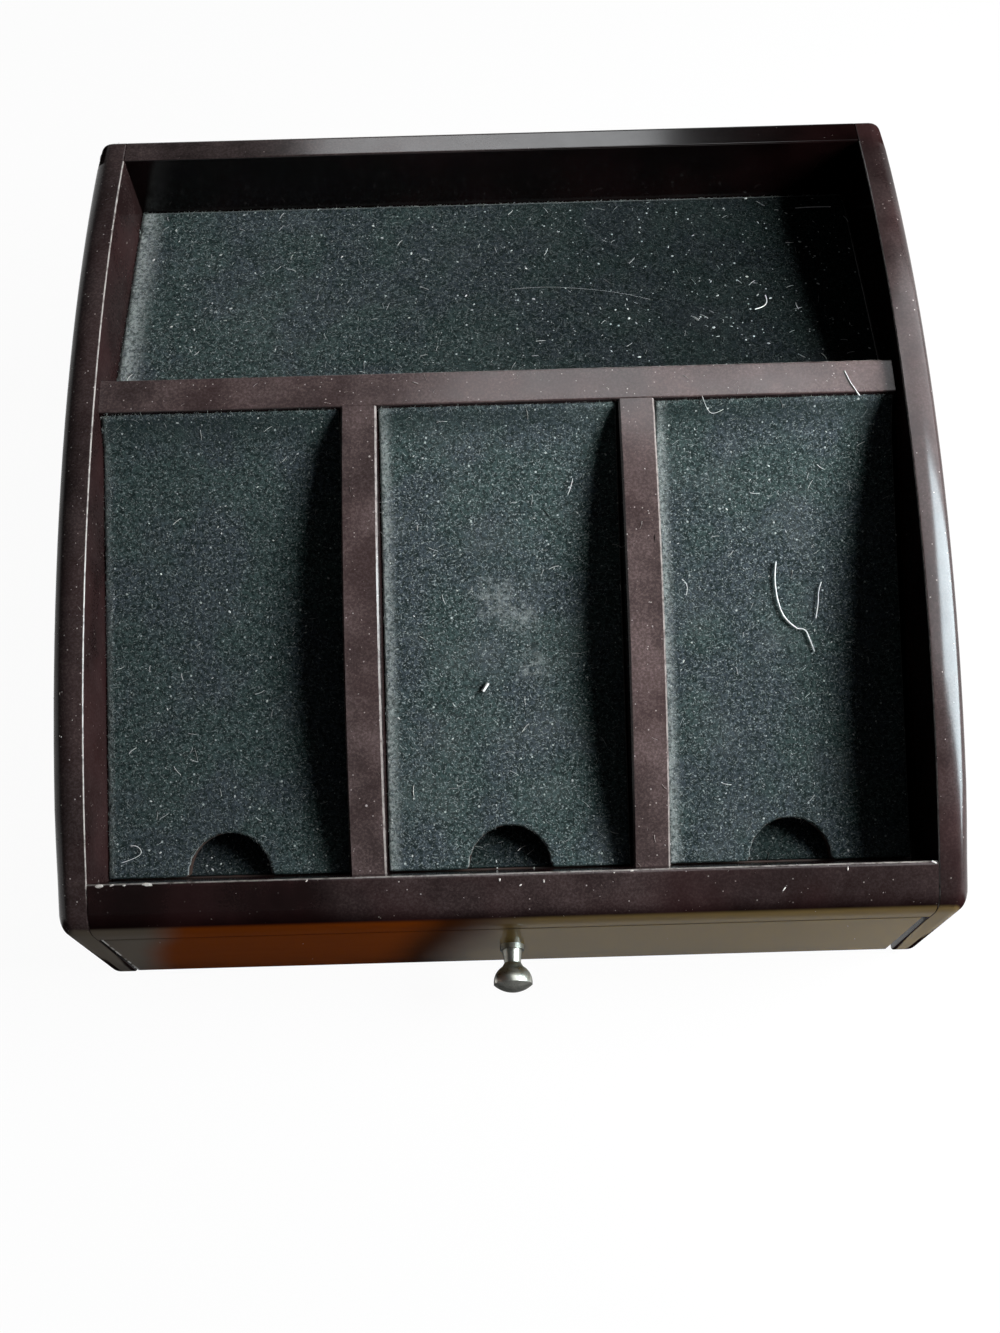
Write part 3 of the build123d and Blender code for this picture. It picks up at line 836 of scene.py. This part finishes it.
# Places of the hairs on the felt: millimetres right of the sheet's middle and up from its front edge.
hairs_on_felt = {
    "right_tray_felt": [
        (0.50, [(-1.1, 92.8), (-1.7, 88.6), (-1.5, 83.6), (-0.4, 77.7), (1.9, 73.8), (4.8, 71.7)]),
        (0.44, [(4.8, 71.7), (7.3, 71.9), (8.4, 68.6), (9.9, 64.4)]),
        (0.32, [(12.9, 86.1), (11.7, 83.2), (11.8, 79.8), (10.7, 74.8)]),
        (0.18, [(-30.6, 88.2), (-28.1, 86.4), (-29.5, 83.1)]),
        (0.16, [(-22.7, 141.5), (-21.1, 138.5), (-18.6, 137.9), (-16.0, 138.9)]),
    ],
    "middle_tray_felt": [
        (0.22, [(23.0, 120.8), (22.5, 118.2), (21.3, 115.8)]),
        (1.10, [(-7.0, 55.0), (-6.1, 56.3), (-5.3, 57.5)]),
    ],
    "left_tray_felt": [
        (0.20, [(-33.2, 5.1), (-29.4, 6.2), (-26.6, 8.0), (-28.5, 10.5), (-30.3, 10.2)]),
    ],
    "rear_tray_felt": [
        (0.34, [(91.2, -4.7), (91.8, -7.4), (89.8, -10.1), (87.0, -10.8)]),
        (0.04, [(5.0, 1.2), (15.3, 2.2), (28.8, 0.8), (42.3, -1.5), (52.2, -5.1)]),
        (0.34, [(107.0, 36.0), (112.5, 36.5), (119.5, 36.2)]),
    ],
}
hair_lift = 0.35 * MM
for node_name, hairs in hairs_on_felt.items():
    slope = Slope(node_name)
    start = 0.0 if slope.angle else slope.length / 2
    made = []
    for thickness, points in hairs:
        lie = [slope.at(x * MM, start + y * MM, hair_lift) for x, y in points]
        made.append(hair(lie, thickness * MM))
    threads = joined(node_name + "_threads", made)
    threads.data.materials.append(white_hair)
    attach(threads, "case" if node_name == "rear_tray_felt" else node_name.replace("_felt", ""))


# ---------------------------------------------------------------- dust, hairs and chips on the lacquer
comb = ("cross_partition", "left_divider", "right_divider")
dusty = [left_panel, *(nodes[name].data for name in comb)]
case_dust = strewn("case_dust", flake_recipe, dusty, 200, Material=dust, Density=30000.0,
                   Length=0.60 * MM, Stand=0.1)
sparse = [right_panel, nodes["back_panel"].data, nodes["front_rail"].data]
thin_dust = strewn("thin_dust", flake_recipe, sparse, 230, Material=dust, Density=9000.0,
                   Length=0.45 * MM, Stand=0.1)
case_lint = strewn("case_lint", hair_recipe, dusty, 260, Material=dust, Density=5200.0,
                   Length=2.6 * MM, Stand=0.1)
partition_hair = hair([Vector(place) * MM for place in (
    (108.6, 35.4, 103.8), (109.6, 32.0, 103.3), (110.9, 29.2, 102.8), (112.5, 26.9, 101.9))], 0.42 * MM)
partition_hair.name = "partition_hair"
partition_hair.data.materials.append(white_hair)
for piece in (case_dust, thin_dust, case_lint, partition_hair):
    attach(piece, "case")


def flecks(name, places, finish, thickness):
    """Small lumpy crumbs or chips, by their centres, lengths, widths and turns, in mm and degrees."""
    heap = bmesh.new()
    for x, y, z, length, width, turn in places:
        made = bmesh.ops.create_icosphere(heap, subdivisions=2, radius=0.5)["verts"]
        for vertex in made:
            rough = noise.noise(vertex.co * 2.3 + Vector((x, y, z)))
            vertex.co *= 1 + 0.55 * rough
        size = Matrix.Diagonal((length * MM, width * MM, thickness * MM, 1))
        place = Matrix.Translation(Vector((x, y, z)) * MM) @ Matrix.Rotation(radians(turn), 4, "Z")
        bmesh.ops.transform(heap, matrix=place @ size, verts=made)
    mesh = bpy.data.meshes.new(name)
    heap.to_mesh(mesh)
    heap.free()
    mesh.materials.append(finish)
    piece = add_object(name, mesh)
    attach(piece, "case")


# Chips along the rail's rear edge, and crumbs on the felt that shows in the left and middle notches.
flecks("rail_chips", [
    (-121.4, -109.8, 56.2, 2.6, 1.0, 5),
    (-117.8, -109.6, 56.2, 1.5, 0.5, 20),
    (-114.2, -109.7, 56.2, 1.2, 0.5, 0),
    (-107.3, -109.7, 56.2, 3.4, 1.1, -4),
    (-60.5, -109.8, 56.2, 0.9, 0.5, 60),
    (-3.9, -111.0, 55.9, 1.1, 0.5, 80),
    (2.2, -112.6, 55.0, 1.0, 0.4, 40),
    (9.0, -111.5, 55.6, 1.3, 0.4, 95),
    (35.0, -109.6, 56.2, 1.1, 0.4, 10),
    (79.7, -115.3, 53.5, 2.0, 0.35, 50),
    (98.3, -110.6, 56.1, 1.6, 0.4, 80),
    (123.9, -109.6, 56.2, 1.9, 0.6, -35),
], filler, 0.3)
flecks("notch_crumbs", [
    (-95.6, -97.9, 36.0, 0.8, 0.5, 10),
    (-93.6, -99.2, 36.0, 0.9, 0.5, 130),
    (-91.2, -97.4, 36.0, 0.7, 0.4, 40),
    (-94.2, -95.3, 36.0, 0.5, 0.4, 0),
    (6.8, -101.5, 36.0, 0.7, 0.5, 30),
    (-4.7, -101.2, 36.0, 0.5, 0.4, 0),
], lint, 0.4)

# ---------------------------------------------------------------- floor, light and world
floor_emission = 0.96
box_middle = Vector((0, 0, 0.06))
daylight = (0.96, 0.98, 1.0)
blue_sky = (0.78, 0.94, 1.0)


def set_floor():
    """A plain white floor that keeps a soft shadow."""
    bpy.ops.mesh.primitive_plane_add(size=8)
    floor = bpy.context.object
    floor.name = "floor"
    finish = Finish("floor_white", Roughness=1.0, Specular_IOR_Level=0.0)
    finish.set("Base Color", (0.80, 0.80, 0.80))
    white = finish.node("Emission", {}, {"Color": (1.0, 1.0, 1.0), "Strength": 1.0})
    shaded = finish.node("BsdfDiffuse", {}, {"Color": (1.0, 1.0, 1.0)})
    bright = finish.node("MixShader", {}, {0: floor_emission, 1: shaded, 2: white})
    camera, glossy, through = [finish.node("LightPath", output=ray) for ray in (
        "Is Camera Ray", "Is Glossy Ray", "Is Transmission Ray")]
    plain = Value(finish, finish.surface.outputs[0])
    both = finish.node("MixShader", {}, {0: camera + glossy + through > 0.5, 1: plain, 2: bright})
    finish.fill(finish.tree.nodes["Material Output"].inputs["Surface"], both)
    floor.data.materials.append(finish.material)


def set_lamp(name, place, width, height, watts, diffuse=True, glossy=True, colour=daylight):
    """A soft rectangular lamp that looks at the box; it may only light, or only be reflected."""
    lamp = bpy.data.lights.new(name, "AREA")
    lamp.shape = "RECTANGLE"
    lamp.size = width
    lamp.size_y = height
    lamp.energy = watts
    lamp.color = colour
    stand = bpy.data.objects.new(name, lamp)
    bpy.context.scene.collection.objects.link(stand)
    stand.location = place
    stand.rotation_euler = (box_middle - place).to_track_quat("-Z", "Y").to_euler()
    stand.visible_camera = False
    stand.visible_diffuse = diffuse
    stand.visible_glossy = glossy


def around(azimuth, elevation, distance):
    """Point at a distance from the box: azimuth 0 is to the right and 90 behind, in degrees."""
    turn, rise = radians(azimuth), radians(elevation)
    away = Vector((cos(turn) * cos(rise), sin(turn) * cos(rise), sin(rise)))
    return box_middle + distance * away


def set_world():
    """Dim even light; a pale wall up to a little above the horizon shows behind the box."""
    world = bpy.data.worlds.new("studio")
    bpy.context.scene.world = world
    world.use_nodes = True
    tree = world.node_tree
    tree.nodes.clear()
    link = tree.links.new
    out = tree.nodes.new("ShaderNodeOutputWorld")
    ambient = tree.nodes.new("ShaderNodeBackground")
    ambient.inputs["Color"].default_value = (0.92, 0.96, 1.0, 1)
    ambient.inputs["Strength"].default_value = 0.03
    wall = tree.nodes.new("ShaderNodeBackground")
    coordinates = tree.nodes.new("ShaderNodeTexCoord")
    split = tree.nodes.new("ShaderNodeSeparateXYZ")
    link(coordinates.outputs["Generated"], split.inputs[0])
    fade = tree.nodes.new("ShaderNodeMapRange")
    fade.interpolation_type = "SMOOTHSTEP"
    fade.inputs["From Min"].default_value = 0.18
    fade.inputs["From Max"].default_value = 0.40
    fade.inputs["To Min"].default_value = 1.0
    fade.inputs["To Max"].default_value = 0.06
    link(split.outputs["Z"], fade.inputs["Value"])
    link(fade.outputs[0], wall.inputs["Strength"])
    path = tree.nodes.new("ShaderNodeLightPath")
    seen = path.outputs["Is Camera Ray"]
    for ray in ("Is Glossy Ray", "Is Transmission Ray"):
        larger = tree.nodes.new("ShaderNodeMath")
        larger.operation = "MAXIMUM"
        link(seen, larger.inputs[0])
        link(path.outputs[ray], larger.inputs[1])
        seen = larger.outputs[0]
    both = tree.nodes.new("ShaderNodeMixShader")
    link(seen, both.inputs[0])
    link(ambient.outputs[0], both.inputs[1])
    link(wall.outputs[0], both.inputs[2])
    link(both.outputs[0], out.inputs["Surface"])


set_camera()
set_floor()
set_world()
set_lamp("window", around(-3, 31, 0.60), 0.36, 0.20, 7.6, glossy=False)
set_lamp("window_glow", around(-6, 30, 0.90), 0.45, 0.66, 17.5, diffuse=False, colour=blue_sky)
set_lamp("sky_card", around(10, 40, 0.95), 0.88, 1.12, 9.0, diffuse=False)
set_lamp("back_card", around(90, 39, 1.1), 0.38, 0.31, 1.9, diffuse=False)
set_lamp("high_card", around(66, 71, 1.1), 0.44, 0.30, 2.1, diffuse=False)
bpy.context.scene.view_settings.view_transform = "Standard"
